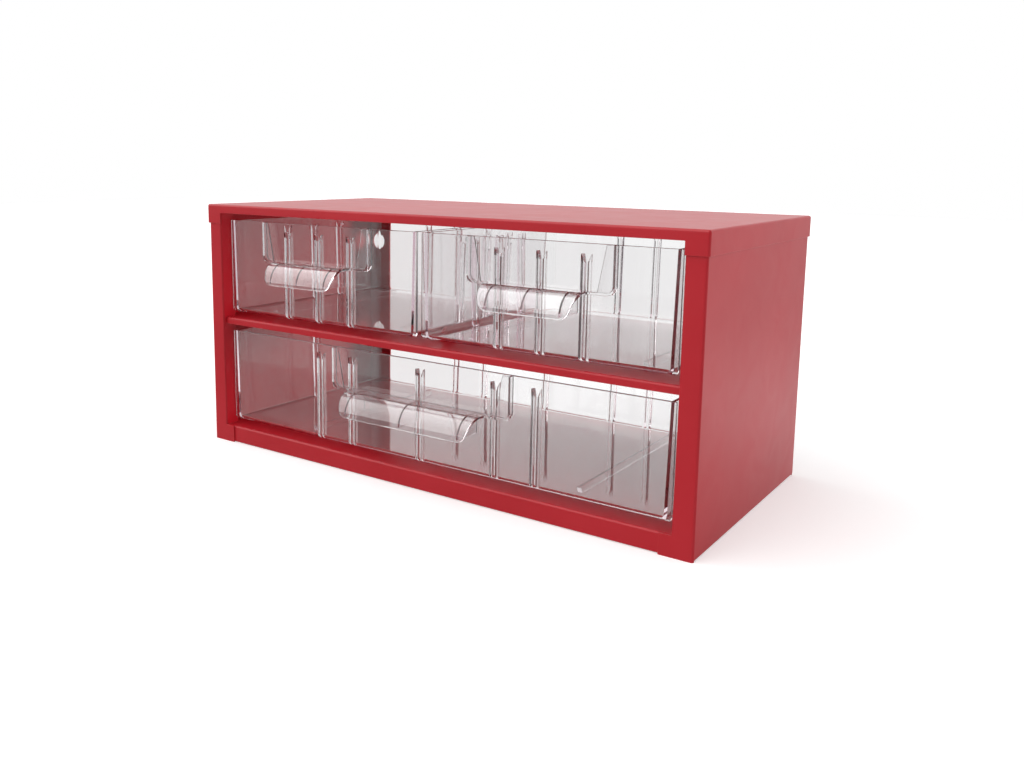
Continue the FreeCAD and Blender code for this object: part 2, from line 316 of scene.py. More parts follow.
# %% [markdown]
# ## Meshes from few points
#
# A finished piece keeps its place in its mesh, and its object stays at the origin. `Sketch`
# collects faces whose corners are given as points: corners at the same point are the same
# vertex, which is what joins two panels at a fold.

# %% Mesh helpers
FOLD_ANGLE = math.radians(30)
SHARP_ANGLE = math.radians(50)


def mesh_object(name, shape):
    """A new object from a bmesh, which is used up."""
    data = bpy.data.meshes.new(name)
    shape.to_mesh(data)
    shape.free()
    return linked(name, data)


class Sketch:
    """Faces from lists of points in millimetres, with shared corners."""

    def __init__(self):
        self.mesh = bmesh.new()
        self.corners = {}

    def corner(self, point):
        key = tuple(round(value, 4) for value in point)
        if key not in self.corners:
            self.corners[key] = self.mesh.verts.new(Vector(point) * MM)
        return self.corners[key]

    def panel(self, points, hole=None):
        """One flat face, or with a hole the triangles between it and the outline."""
        if hole is None:
            self.mesh.faces.new([self.corner(point) for point in points])
            return
        every = list(points) + list(hole)
        for triangle in tessellate_polygon([[Vector(p) for p in points], [Vector(p) for p in hole]]):
            self.mesh.faces.new([self.corner(every[i]) for i in triangle])

    def facing(self, towards):
        """Turns the faces so that the first one faces towards a direction."""
        bmesh.ops.recalc_face_normals(self.mesh, faces=self.mesh.faces)
        self.mesh.faces.ensure_lookup_table()
        self.mesh.normal_update()
        if self.mesh.faces[0].normal.dot(Vector(towards)) < 0:
            bmesh.ops.reverse_faces(self.mesh, faces=self.mesh.faces)

    def round_folds(self, radius, segments):
        """Turns each edge where two panels meet at an angle into an arc."""
        folds = [edge for edge in self.mesh.edges
                 if len(edge.link_faces) == 2 and edge.calc_face_angle() > FOLD_ANGLE]
        bmesh.ops.bevel(self.mesh, geom=folds, offset=radius * MM, segments=segments, profile=0.5,
                        affect="EDGES", offset_type="OFFSET", clamp_overlap=False)

    def to_object(self, name):
        return mesh_object(name, self.mesh)


def settle(piece):
    """Bakes a piece's modifiers into its mesh."""
    graph = bpy.context.evaluated_depsgraph_get()
    baked = bpy.data.meshes.new_from_object(piece.evaluated_get(graph), depsgraph=graph)
    piece.modifiers.clear()
    piece.data = baked
    return piece


def modify(piece, kind, **settings):
    """Adds a modifier with its settings."""
    made = piece.modifiers.new(kind.lower(), kind)
    for name, value in settings.items():
        setattr(made, name, value)


def smooth(piece):
    """Smooth shading over arcs, which stops at sharp edges and leaves flat faces flat."""
    piece.data.shade_smooth()
    piece.data.set_sharp_from_angle(angle=SHARP_ANGLE)
    modify(piece, "WEIGHTED_NORMAL", weight=100, keep_sharp=True)
    return settle(piece)


def soften(piece, edge, segments=2):
    """Rounds a piece's sharp edges a little."""
    modify(piece, "BEVEL", width=edge * MM, segments=segments, limit_method="ANGLE",
           angle_limit=SHARP_ANGLE, use_clamp_overlap=True)
    return settle(piece)


def thicken(piece, thickness, edge):
    """Gives a skin of outer faces its thickness inwards, and softens its cut edges."""
    modify(piece, "SOLIDIFY", thickness=thickness * MM, offset=-1.0, use_even_offset=True)
    return soften(piece, edge)


def finished(piece, body, node, material):
    """Gives a piece its material and its body, and hides the solid that it stands for."""
    piece.data.materials.clear()
    piece.data.materials.append(material)
    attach(piece, body)
    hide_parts(node)
    print(piece.name, "faces:", len(piece.data.polygons))
    return piece


# %% [markdown]
# ## The cabinet's sheets
#
# A folded sheet is drawn as its flat outer panels, which meet at sharp edges. Then three steps
# do what the press does: the edges where two panels meet become arcs, the skin gets its
# thickness inwards, so that the inside of a fold has a smaller radius than its outside, and the
# cut edges are softened as the paint softens them.

# %% Sheet sizes, in millimetres
SHEET = 0.8
FOLD_RADIUS = 1.2
CUT_EDGE = 0.16
FOLD_SEGMENTS = 5


def corners_mm(node):
    """A node's lowest and highest corners in millimetres."""
    low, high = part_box(node)
    return [value / MM for value in low], [value / MM for value in high]


def painted(piece, node):
    """A finished sheet of the cabinet."""
    return finished(smooth(piece), "cabinet", node, enamel)


def folded(sketch, name, node, towards):
    """A painted sheet from its outer panels, the first of which faces towards a direction."""
    sketch.facing(towards)
    sketch.round_folds(FOLD_RADIUS, FOLD_SEGMENTS)
    return painted(thicken(sketch.to_object(name), SHEET, CUT_EDGE), node)


# %% [markdown]
# ### Top cover
#
# The cover is a shallow lid. Its side skirts hang over the side panels, its corner tabs over the
# stiles, and between the tabs its front and back lips are lower, to leave the drawers room.

# %% Top cover
LIP_HEIGHT = 5.0
STILE_WIDTH = 10.0
stile_edge = corners_mm("right_side_panel")[1][0] - STILE_WIDTH


def make_top_cover():
    (left, front, foot), (right, back, top) = corners_mm("top_cover")
    sketch = Sketch()
    sketch.panel([(left, front, top), (right, front, top), (right, back, top), (left, back, top)])
    lip = top - LIP_HEIGHT
    for y in (front, back):
        outline = [(left, foot), (-stile_edge, foot), (-stile_edge, lip), (stile_edge, lip),
                   (stile_edge, foot), (right, foot), (right, top), (left, top)]
        sketch.panel([(x, y, z) for x, z in outline])
    for x in (left, right):
        sketch.panel([(x, front, foot), (x, back, foot), (x, back, top), (x, front, top)])
    return folded(sketch, "top_cover_sheet", "top_cover", (0, 0, 1))


make_top_cover()

# %% [markdown]
# ### Side panels
#
# Each side panel is one sheet: the side, the stile with a fold behind it that guides the
# drawers, a wider foot over the end of the rail, a flange to stand on, and a flange at the back
# with a keyhole for hanging the cabinet on a wall. The keyhole is a pear: two circles of
# different size that run into each other.

# %% Side panels
RETURN_DEPTH = 9.0
FOOT_TAB_WIDTH = 16.2
BASE_FLANGE = 14.0
KEYHOLE_INSET = 9.7
KEYHOLE_DROP = 30.2
KEYHOLE_RADIUS = 5.8
KEYHOLE_TOP_RADIUS = 3.2
KEYHOLE_RISE = 4.0
KEYHOLE_STEPS = 28
KEYHOLE_TOP_STEPS = 12


def pear(x, y, z):
    """The outline of a keyhole in a panel that faces along Y."""
    points = []
    along = (KEYHOLE_RISE ** 2 + KEYHOLE_RADIUS ** 2 - KEYHOLE_TOP_RADIUS ** 2) / (2 * KEYHOLE_RISE)
    across = math.sqrt(KEYHOLE_RADIUS ** 2 - along ** 2)
    wide = math.atan2(along, across)
    narrow = math.atan2(along - KEYHOLE_RISE, across)
    for radius, rise, start, end, count in (
            (KEYHOLE_TOP_RADIUS, KEYHOLE_RISE, narrow, math.pi - narrow, KEYHOLE_TOP_STEPS),
            (KEYHOLE_RADIUS, 0.0, math.pi - wide, 2 * math.pi + wide, KEYHOLE_STEPS)):
        for i in range(count):
            angle = start + (end - start) * i / count
            points.append((x + radius * math.cos(angle), y, z + rise + radius * math.sin(angle)))
    return points


def make_side_panel(side):
    """The left panel for side -1, the right one for side 1."""
    node = "left_side_panel" if side < 0 else "right_side_panel"
    (_, front, foot), (_, back, top) = corners_mm(node)
    cover_top = corners_mm("top_cover")[1][2]
    plate = corners_mm("bottom_panel")[1][2]
    flange = corners_mm(node)[0][0] if side > 0 else corners_mm(node)[1][0]
    outer = side * (stile_edge + STILE_WIDTH)
    inner = side * stile_edge
    tab = outer - side * FOOT_TAB_WIDTH
    base = outer - side * BASE_FLANGE
    base_front = front + 2 * SHEET
    base_back = back - 2 * SHEET
    sketch = Sketch()
    sketch.panel([(outer, front, foot), (outer, base_front, foot), (outer, base_back, foot),
                  (outer, back, foot), (outer, back, top), (outer, front, top)])
    sketch.panel([(outer, front, foot), (tab, front, foot), (tab, front, plate),
                  (inner, front, plate), (inner, front, top), (outer, front, top)])
    sketch.panel([(inner, front, plate), (inner, front + RETURN_DEPTH, plate),
                  (inner, front + RETURN_DEPTH, top), (inner, front, top)])
    sketch.panel([(outer, base_front, foot), (base, base_front, foot), (base, base_back, foot),
                  (outer, base_back, foot)])
    keyhole_x = side * (corners_mm("top_cover")[1][0] - KEYHOLE_INSET)
    sketch.panel([(outer, back, foot), (flange, back, foot), (flange, back, top), (outer, back, top)],
                 hole=pear(keyhole_x, back, cover_top - KEYHOLE_DROP))
    return folded(sketch, node.replace("panel", "sheet"), node, (side, 0, 0))


for side in (-1, 1):
    make_side_panel(side)

# %% [markdown]
# ### Middle shelf
#
# The shelf is narrow where it passes between the folds of the side panels and wide behind them,
# where two ears lie against the sides. Its front lip stands a little behind the stiles.

# %% Middle shelf
SHELF_LIP = 4.0
SHELF_GAP = 0.4


def make_middle_shelf():
    (left, front, foot), (right, back, top) = corners_mm("middle_shelf")
    narrow = stile_edge - SHELF_GAP
    near = corners_mm("left_side_panel")[0][1] + RETURN_DEPTH + SHELF_GAP
    far = back - 2 * FOLD_RADIUS
    sketch = Sketch()
    half = [(narrow, front), (narrow, near), (right, near), (right, far), (narrow, far), (narrow, back)]
    outline = half + [(-x, y) for x, y in reversed(half)]
    sketch.panel([(x, y, top) for x, y in outline])
    lip = top - SHELF_LIP
    for y in (front, back):
        sketch.panel([(-narrow, y, top), (narrow, y, top), (narrow, y, lip), (-narrow, y, lip)])
    for x in (left, right):
        sketch.panel([(x, near, top), (x, far, top), (x, far, foot), (x, near, foot)])
    return folded(sketch, "middle_shelf_sheet", "middle_shelf", (0, 0, 1))


make_middle_shelf()

# %% [markdown]
# ## A strip along a path, with Geometry Nodes
#
# Some pieces are one section that follows a path: the bottom panel is a flat strip, folded down
# in front and behind, the centre guide is a strip folded double, and each label holder is a
# ridge round three sides of a label. One tree makes them all. It rounds the corners of the path,
# sweeps a rectangle along it, and closes the ends.

# %% Strip tree
FOLD_POINTS = 6
TOUCHING = 0.001


def new_tree(name, sizes):
    """A Geometry Nodes tree with a geometry input, the named sizes and a material, and its graph."""
    tree = bpy.data.node_groups.new(name, "GeometryNodeTree")
    tree.interface.new_socket("Geometry", in_out="INPUT", socket_type="NodeSocketGeometry")
    for size in sizes:
        kind = "NodeSocketVector" if size.endswith("direction") else "NodeSocketFloat"
        tree.interface.new_socket(size, in_out="INPUT", socket_type=kind)
    tree.interface.new_socket("Material", in_out="INPUT", socket_type="NodeSocketMaterial")
    tree.interface.new_socket("Geometry", in_out="OUTPUT", socket_type="NodeSocketGeometry")
    graph = Graph(tree)
    return tree, graph, graph.node("NodeGroupInput").outputs


def close_tree(graph, geometry, sizes):
    """Ends a tree: instances become real, and the faces get their material."""
    real = graph.node("GeometryNodeRealizeInstances", None, {0: geometry})
    painted = graph.node("GeometryNodeSetMaterial", None, {"Geometry": real, "Material": sizes["Material"]})
    graph.node("NodeGroupOutput", None, {0: painted})


def grow(piece, tree, values):
    """Runs a tree on a piece's mesh and keeps the result as a plain mesh."""
    made = piece.modifiers.new(tree.name, "NODES")
    made.node_group = tree
    for socket in tree.interface.items_tree:
        if socket.name in values:
            made[socket.identifier] = values[socket.name]
    return settle(piece)


def make_strip_tree():
    names = ["Width", "Thickness", "Fold radius", "Width direction"]
    tree, graph, sizes = new_tree("strip along a path", names)
    path = graph.node("GeometryNodeMeshToCurve", None, {0: sizes["Geometry"]})
    bent = graph.node("GeometryNodeFilletCurve", {"mode": "POLY"},
                      {"Curve": path, "Radius": sizes["Fold radius"], "Count": FOLD_POINTS})
    turned = graph.node("GeometryNodeSetCurveNormal", {"mode": "FREE"},
                        {"Curve": bent, "Normal": sizes["Width direction"]})
    section = graph.node("GeometryNodeCurvePrimitiveQuadrilateral", None,
                         {"Width": sizes["Width"], "Height": sizes["Thickness"]})
    swept = graph.node("GeometryNodeCurveToMesh", None, {0: turned, 1: section, "Fill Caps": True})
    merged = graph.node("GeometryNodeMergeByDistance", None, {0: swept, "Distance": TOUCHING * MM})
    close_tree(graph, merged, sizes)
    return tree


strip_tree = make_strip_tree()


def path_object(name, points):
    """A chain of edges through points in millimetres."""
    data = bpy.data.meshes.new(name)
    edges = [(i, i + 1) for i in range(len(points) - 1)]
    data.from_pydata([Vector(point) * MM for point in points], edges, [])
    return linked(name, data)


def strip(name, points, width, thickness, radius, direction, material):
    """A strip whose middle follows the points."""
    values = {"Width": width * MM, "Thickness": thickness * MM, "Fold radius": radius * MM,
              "Width direction": direction, "Material": material}
    return grow(path_object(name, points), strip_tree, values)


print("tree:", strip_tree.name)

# %% [markdown]
# ### Bottom panel and centre guide
#
# The bottom panel carries the lower drawer, and its folded front is the rail between the feet of
# the side panels. The centre guide keeps the two upper drawers apart. It is a thin fin on two
# feet, and its front end is cut away at a slope. Its two layers stand a hair apart, because the
# mesh would have open edges where they touch.

# %% Bottom panel and centre guide
ALONG_X = (1.0, 0.0, 0.0)
ALONG_Y = (0.0, 1.0, 0.0)
MIDDLE_FOLD = FOLD_RADIUS - SHEET / 2
GUIDE_NOSE = 3.0
LAYER_GAP = 0.01


def make_bottom_panel():
    (left, front, foot), (right, back, top) = corners_mm("bottom_panel")
    half = SHEET / 2
    path = [(0, front + half, foot), (0, front + half, top - half), (0, back - half, top - half),
            (0, back - half, foot)]
    piece = strip("bottom_panel_sheet", path, right - left, SHEET, MIDDLE_FOLD, ALONG_X, enamel)
    return painted(soften(piece, CUT_EDGE), "bottom_panel")


def make_centre_guide():
    (left, start, foot), (right, end, top) = corners_mm("centre_guide")
    half = SHEET / 2
    middle = (start + end) / 2
    layer = half + LAYER_GAP
    path = [(left, middle, foot + half), (-layer, middle, foot + half), (-layer, middle, top - half),
            (layer, middle, top - half), (layer, middle, foot + half), (right, middle, foot + half)]
    piece = strip("centre_guide_fin", path, end - start, SHEET, half + LAYER_GAP / 2, ALONG_Y, enamel)
    shape = bmesh.new()
    shape.from_mesh(piece.data)
    every = shape.verts[:] + shape.edges[:] + shape.faces[:]
    knee = (top - GUIDE_NOSE) * MM
    bmesh.ops.bisect_plane(shape, geom=every, plane_co=(0, 0, knee), plane_no=(0, 0, 1))
    for vertex in shape.verts:
        if vertex.co.y < middle * MM and vertex.co.z > knee:
            vertex.co.y += vertex.co.z - knee
    shape.to_mesh(piece.data)
    shape.free()
    return painted(soften(piece, CUT_EDGE), "centre_guide")


make_bottom_panel()
make_centre_guide()

# %% [markdown]
# ## Clear drawers
#
# A moulded drawer is one piece of plastic, and a ray of light must find it so: any wall left
# inside it would show as a mirror. So each drawer is first made as a few closed solids that run
# into one another, and an exact union then makes them one. The solids are drawn about the middle
# of the drawer's front, with its floor at height 0, and are moved to their place at the end.

# %% What all drawers share, in millimetres
WALL = 1.5
TUB_INSET = 1.2
SIDE_DRAFT = 1.2
BACK_DRAFT = 1.0
TUB_CORNER = 3.0
FRONT_CORNER = 2.5
FRONT_FOOT = 2.5
HOLLOW_CORNER = FRONT_FOOT - WALL
MOULDED_EDGE = 0.3
BAR_EDGE = 0.25
FINE_EDGE = 0.15
OVERLAP = 0.3
CORNER_STEPS = 8
FOOT_STEPS = 10
RUNNER_HEIGHT = 3.0
PULL_FLAT = 7.5
PULL_NOSE = 9.5
upper_low, upper_high = corners_mm("upper_right_drawer")
lower_low, lower_high = corners_mm("lower_drawer")
drawer_height = upper_high[2] - upper_low[2] - RUNNER_HEIGHT
drawer_length = upper_high[1] - upper_low[1] - PULL_FLAT - PULL_NOSE
print("drawer height", round(drawer_height, 2), "length", round(drawer_length, 2))

# %% [markdown]
# ### Tub and front
#
# The tub is drawn as a skin: two sides that lean outwards, a floor and a back. Rounding its
# edges and thickening it inwards gives the even wall that a moulding needs. The front is a flat
# plate with rounded lower corners, a little wider than the tub behind it.

# %% Tub and front


def make_tub(width):
    rim = width / 2 - TUB_INSET
    foot = rim - SIDE_DRAFT
    back = drawer_length
    near = WALL / 2
    floor_back = back - BACK_DRAFT
    sketch = Sketch()
    sketch.panel([(-foot, near, 0), (foot, near, 0), (foot, floor_back, 0), (-foot, floor_back, 0)])
    for side in (-1, 1):
        sketch.panel([(side * foot, near, 0), (side * foot, floor_back, 0),
                      (side * rim, back, drawer_height), (side * rim, near, drawer_height)])
    sketch.panel([(-foot, floor_back, 0), (foot, floor_back, 0),
                  (rim, back, drawer_height), (-rim, back, drawer_height)])
    sketch.facing((0, 0, -1))
    sketch.round_folds(TUB_CORNER, segments=6)
    return thicken(sketch.to_object("tub"), WALL, MOULDED_EDGE)


def arc(centre_x, centre_z, radius, start, end, count):
    """Points of an arc in X and Z, its angles in degrees."""
    angles = [math.radians(start + (end - start) * i / count) for i in range(count + 1)]
    return [(centre_x + radius * math.cos(a), centre_z + radius * math.sin(a)) for a in angles]


def slab(name, outline, near, far):
    """A flat piece between two Y values whose outline is given in X and Z."""
    shape = bmesh.new()
    face = shape.faces.new([shape.verts.new(Vector((x, near, z)) * MM) for x, z in outline])
    pushed = bmesh.ops.extrude_face_region(shape, geom=[face])["geom"]
    for vertex in [item for item in pushed if isinstance(item, bmesh.types.BMVert)]:
        vertex.co.y = far * MM
    bmesh.ops.recalc_face_normals(shape, faces=shape.faces)
    return mesh_object(name, shape)


def turned_along_x(piece):
    """Swaps X and Y, which lays a slab drawn across the drawer along it."""
    for vertex in piece.data.vertices:
        x, y, z = vertex.co
        vertex.co = (y, x, z)
    piece.data.flip_normals()
    return piece


def make_front(width):
    half = width / 2
    corner = half - FRONT_CORNER
    outline = [(half, drawer_height), (-half, drawer_height)]
    outline += arc(-corner, FRONT_CORNER, FRONT_CORNER, 180, 270, CORNER_STEPS)
    outline += arc(corner, FRONT_CORNER, FRONT_CORNER, 270, 360, CORNER_STEPS)
    return soften(slab("front", outline, 0.0, WALL), MOULDED_EDGE, segments=3)


# %% [markdown]
# ### Ribs in pairs, with Geometry Nodes
#
# Dividers slide into slots along the walls, and each slot is a pair of slim ribs. A rib stands
# upright from floor to a little below the rim. Its side at the slot is straight, and its other
# side slants from a wide root to a narrow tip. That slant is a choice of look: it bends light
# into bars somewhat like the photograph's, but no part of the photograph shows a rib's section.
# Over the last few millimetres the slot opens like a funnel. One tree draws a rib as a section
# swept up a rail, slants it, adds its mirror image, and puts the pair on every point that it is
# given. Each point carries the turn of its wall, and on a leaning wall the lean as well.

# %% Rib tree
SLOT_PITCH = 23.2
SLOT_WIDTH = 1.7
RIB_ROOT = 2.0
RIB_WIDTH = 1.13
RIB_DEPTH = 2.3
RIB_DROP = 5.0
RIB_LEAD_IN = 4.0
RIB_TIP = 0.12
RIB_EDGE = 0.15
LEAD_IN_CURVE = 1.1
RIB_RINGS = 9
RIB_EDGE_POINTS = 3


def make_rib_tree():
    names = ["Slot width", "Rib root", "Rib width", "Rib depth", "Wall root", "Foot", "Top",
             "Lead in", "Tip", "Edge radius"]
    tree, graph, sizes = new_tree("slots between two ribs", names)
    size = {name: Number(graph, sizes[name]) for name in names}
    knee = size["Top"] - size["Lead in"]
    rail = graph.node("GeometryNodeCurvePrimitiveLine", None, {"Start": (0, 0, 0), "End": (0, 0, 1)})
    rail = graph.node("GeometryNodeResampleCurve", {"mode": "COUNT"}, {"Curve": rail, "Count": RIB_RINGS + 1})
    place = graph.node("GeometryNodeInputPosition")
    ring = graph.number("ShaderNodeSeparateXYZ", None, {0: place}, output=2) * RIB_RINGS
    height = size["Foot"] + ring.spread(0, 1) * (knee - size["Foot"])
    height = height + (ring - 1.0).larger(0.0) / (RIB_RINGS - 1) * size["Lead in"]
    middle_x = (size["Slot width"] + size["Rib width"]) / 2
    middle_y = (size["Rib depth"] - size["Wall root"]) / 2
    on_rail = graph.node("ShaderNodeCombineXYZ", None, {"X": middle_x, "Y": middle_y, "Z": height})
    rail = graph.node("GeometryNodeSetPosition", None, {"Geometry": rail, "Position": on_rail})
    rail = graph.node("GeometryNodeSetCurveNormal", {"mode": "FREE"}, {"Curve": rail, "Normal": ALONG_X})
    section = graph.node("GeometryNodeCurvePrimitiveQuadrilateral", None,
                         {"Width": size["Rib width"], "Height": size["Rib depth"] + size["Wall root"]})
    section = graph.node("GeometryNodeFilletCurve", {"mode": "POLY"},
                         {"Curve": section, "Count": RIB_EDGE_POINTS, "Radius": size["Edge radius"]})
    rib = graph.node("GeometryNodeCurveToMesh", None, {0: rail, 1: section, "Fill Caps": True})
    place = graph.node("ShaderNodeSeparateXYZ", None, {0: graph.node("GeometryNodeInputPosition")})
    x, y, z = [Number(graph, output) for output in place.outputs]
    inner = size["Slot width"] / 2
    across = (x - inner) / size["Rib width"]
    outwards = (y / size["Rib depth"]).spread(0, 1)
    width = size["Rib root"] + (size["Rib width"] - size["Rib root"]) * outwards
    slant = ((z - knee) / size["Lead in"]).larger(0.0) ** LEAD_IN_CURVE
    kept = 1.0 - slant * (1.0 - size["Tip"] / size["Rib width"])
    narrowed = inner + width * (1.0 - (1.0 - across) * kept)
    slanted = graph.node("ShaderNodeCombineXYZ", None, {"X": narrowed, "Y": y, "Z": z})
    rib = graph.node("GeometryNodeSetPosition", None, {"Geometry": rib, "Position": slanted})
    image = graph.node("GeometryNodeTransform", None, {"Geometry": rib, "Scale": (-1.0, 1.0, 1.0)})
    image = graph.node("GeometryNodeFlipFaces", None, {"Mesh": image})
    pair = graph.node("GeometryNodeJoinGeometry", None, {0: rib})
    graph.tree.links.new(image.outputs[0], pair.inputs[0])
    turn = graph.node("GeometryNodeInputNamedAttribute", {"data_type": "FLOAT_VECTOR"}, {"Name": "turn"})
    turn = graph.node("FunctionNodeEulerToRotation", None, {0: turn})
    pairs = graph.node("GeometryNodeInstanceOnPoints", None,
                       {"Points": sizes["Geometry"], "Instance": pair, "Rotation": turn})
    close_tree(graph, pairs, sizes)
    return tree


rib_tree = make_rib_tree()


def make_ribs(width, front_slots, side_slots):
    """All ribs of a drawer: on the front and the back, and on both sides."""
    rim = width / 2 - TUB_INSET - WALL
    back = drawer_length - WALL
    side_lean = math.atan2(SIDE_DRAFT, drawer_height)
    back_lean = math.atan2(BACK_DRAFT, drawer_height)
    points = []
    for index in front_slots:
        points.append((index * SLOT_PITCH, WALL, 0.0, 0.0))
        points.append((index * SLOT_PITCH, back, back_lean, math.pi))
    for index in side_slots:
        y = drawer_length / 2 + index * SLOT_PITCH
        points.append((-rim, y, side_lean, -math.pi / 2))
        points.append((rim, y, side_lean, math.pi / 2))
    data = bpy.data.meshes.new("ribs")
    data.from_pydata([Vector((x, y, drawer_height)) * MM for x, y, _, _ in points], [], [])
    turns = data.attributes.new("turn", "FLOAT_VECTOR", "POINT")
    for item, (_, _, lean, turn) in zip(turns.data, points):
        item.vector = (lean, 0.0, turn)
    values = {"Slot width": SLOT_WIDTH * MM, "Rib root": RIB_ROOT * MM, "Rib width": RIB_WIDTH * MM,
              "Rib depth": RIB_DEPTH * MM, "Wall root": WALL / 2 * MM,
              "Foot": (WALL / 2 - drawer_height) * MM, "Top": -RIB_DROP * MM,
              "Lead in": RIB_LEAD_IN * MM, "Tip": RIB_TIP * MM, "Edge radius": RIB_EDGE * MM,
              "Material": polystyrene}
    return grow(linked("ribs", data), rib_tree, values)


print("tree:", rib_tree.name, len(rib_tree.nodes), "nodes")

# %% [markdown]
# ### Pull
#
# The pull is a thin shell that fingers reach under: level at first, then curved down over a
# quarter of an ellipse, narrower towards its lip, with rounded corners there. Three thin webs
# hold it up. The shell is a grid of points that follows this rule, thickened inwards.

# %% Pull
PULL_DROP = 11.8
PULL_WALL = 1.3
PULL_TAPER = 3.5
PULL_CORNER = 3.5
WEB = 1.0
WEB_INSET = 6.6
WEB_RISE = 1.2
LABEL_HEIGHT = 21.3
PULL_ARC_STEPS = 24
PULL_COLUMNS = 16
pull_top = drawer_height - LABEL_HEIGHT
pull_lip = pull_top - PULL_DROP


def pull_profile(inset):
    """The pull's outline in Y and Z, seen from its end, from the drawer's front to the lip."""
    points = [(WALL / 2, pull_top - inset), (-PULL_FLAT / 2, pull_top - inset)]
    for i in range(PULL_ARC_STEPS + 1):
        angle = math.pi / 2 * i / PULL_ARC_STEPS
        y = -PULL_FLAT - (PULL_NOSE - inset) * math.sin(angle)
        points.append((y, pull_lip + (PULL_DROP - inset) * math.cos(angle)))
    return points


def pull_half_width(half, z):
    """Half the width of the pull at a height."""
    width = half - PULL_TAPER * (pull_top - z) / PULL_DROP
    above_lip = min(z - pull_lip, PULL_CORNER)
    return width - PULL_CORNER + math.sqrt(PULL_CORNER ** 2 - (PULL_CORNER - above_lip) ** 2)


def make_pull(half):
    sketch = Sketch()
    shares = [2 * i / PULL_COLUMNS - 1 for i in range(PULL_COLUMNS + 1)]
    rows = [[(pull_half_width(half, z) * share, y, z) for share in shares]
            for y, z in pull_profile(0.0)]
    for near, far in zip(rows, rows[1:]):
        for i in range(PULL_COLUMNS):
            sketch.panel([near[i], near[i + 1], far[i + 1], far[i]])
    sketch.facing((0, 0, 1))
    pieces = [thicken(sketch.to_object("pull"), PULL_WALL, MOULDED_EDGE)]
    foot = pull_lip + WEB_RISE
    middle = [(y, z) for y, z in pull_profile(PULL_WALL / 2) if z > foot]
    outline = middle + [(middle[-1][0], foot), (WALL / 2, foot)]
    for x in (WEB_INSET - half, 0.0, half - WEB_INSET):
        web = turned_along_x(slab("web", outline, x - WEB / 2, x + WEB / 2))
        pieces.append(soften(web, FINE_EDGE))
    return pieces


# %% [markdown]
# ### Label holder and runners
#
# Above the pull a raised frame holds a paper label. It is open at the top, and a slanted lip
# inside each leg keeps the label from falling forwards. Under the floor, two bars run from front
# to back, and the drawer slides on them.

# %% Label holder and runners
FRAME_PROUD = 3.0
FRAME_WIDTH = 1.2
FRAME_CORNER = 3.7
LABEL_LIP = 0.8
LABEL_LIP_TOP = 3.3
LABEL_LIP_FOOT = 7.5
LABEL_LIP_SUNK = 0.05
RUNNER_WIDTH = 2.6
RUNNER_FRONT = 14.0
RUNNER_BACK = 6.0
RUNNER_SLOPE = 2.0


def make_label_frame(half):
    side = half - FRAME_WIDTH / 2
    foot = pull_top - FRAME_WIDTH / 2
    depth = FRAME_PROUD + WALL / 2
    y = WALL / 2 - depth / 2
    path = [(-side, y, drawer_height), (-side, y, foot), (side, y, foot), (side, y, drawer_height)]
    ridge = strip("label_frame", path, depth, FRAME_WIDTH, FRAME_CORNER, ALONG_Y, polystyrene)
    pieces = [soften(ridge, BAR_EDGE)]
    inner = half - FRAME_WIDTH
    top = drawer_height - LABEL_LIP_SUNK
    for way in (-1, 1):
        hidden = way * side
        outline = [(hidden, foot), (way * (inner - LABEL_LIP_FOOT), foot),
                   (way * (inner - LABEL_LIP_TOP), top), (hidden, top)]
        lip = slab("label_lip", outline, -FRAME_PROUD + LABEL_LIP_SUNK, -FRAME_PROUD + LABEL_LIP)
        pieces.append(soften(lip, FINE_EDGE))
    return pieces


def make_runner(x):
    near = RUNNER_FRONT
    far = drawer_length - RUNNER_BACK
    outline = [(near, WALL / 2), (near + RUNNER_SLOPE, -RUNNER_HEIGHT),
               (far - RUNNER_SLOPE, -RUNNER_HEIGHT), (far, WALL / 2)]
    runner = slab("runner", outline, x - RUNNER_WIDTH / 2, x + RUNNER_WIDTH / 2)
    return soften(turned_along_x(runner), BAR_EDGE)


# %% [markdown]
# ### One moulding
#
# The union keeps the outside of all the solids and drops what lies inside. The drawer is then
# moved to its place, and the two upper drawers are the same moulding twice.

# %% Unite and place the drawers
UPPER_PULL = 52.6
UPPER_LABEL = 79.0
UPPER_RUNNER_INSET = 21.0
UPPER_SLOTS = (-1, 0, 1)
LOWER_PULL = 85.6
LOWER_LABEL = 115.0
LOWER_RUNNER_INSET = 52.5
LOWER_SLOTS = (-3, -2, 0, 2, 3)
LOWER_SIDE_SLOTS = (0,)


def unite(base, others):
    """One closed solid from several that run into one another."""
    group = bpy.data.collections.new("to_unite")
    for other in others:
        group.objects.link(other)
    modify(base, "BOOLEAN", operation="UNION", operand_type="COLLECTION", collection=group, solver="EXACT")
    settle(base)
    for other in others:
        bpy.data.objects.remove(other)
    bpy.data.collections.remove(group)
    return base


def close_pinholes(piece):
    """Fills the triangles that a union can leave open at a very slim tip."""
    shape = bmesh.new()
    shape.from_mesh(piece.data)
    rims = [edge for edge in shape.edges if len(edge.link_faces) == 1]
    bmesh.ops.holes_fill(shape, edges=rims, sides=0)
    bmesh.ops.recalc_face_normals(shape, faces=shape.faces)
    shape.to_mesh(piece.data)
    shape.free()
    return piece


def make_inner_corner(width):
    """The fillet inside, between the front and the floor."""
    half = width / 2 - TUB_INSET - SIDE_DRAFT - WALL / 2
    hidden = WALL - OVERLAP
    centre = WALL + HOLLOW_CORNER
    outline = [(hidden, centre), (hidden, hidden), (centre, hidden)]
    outline += arc(centre, centre, HOLLOW_CORNER, 270, 180, CORNER_STEPS)
    return turned_along_x(slab("inner_corner", outline, -half, half))


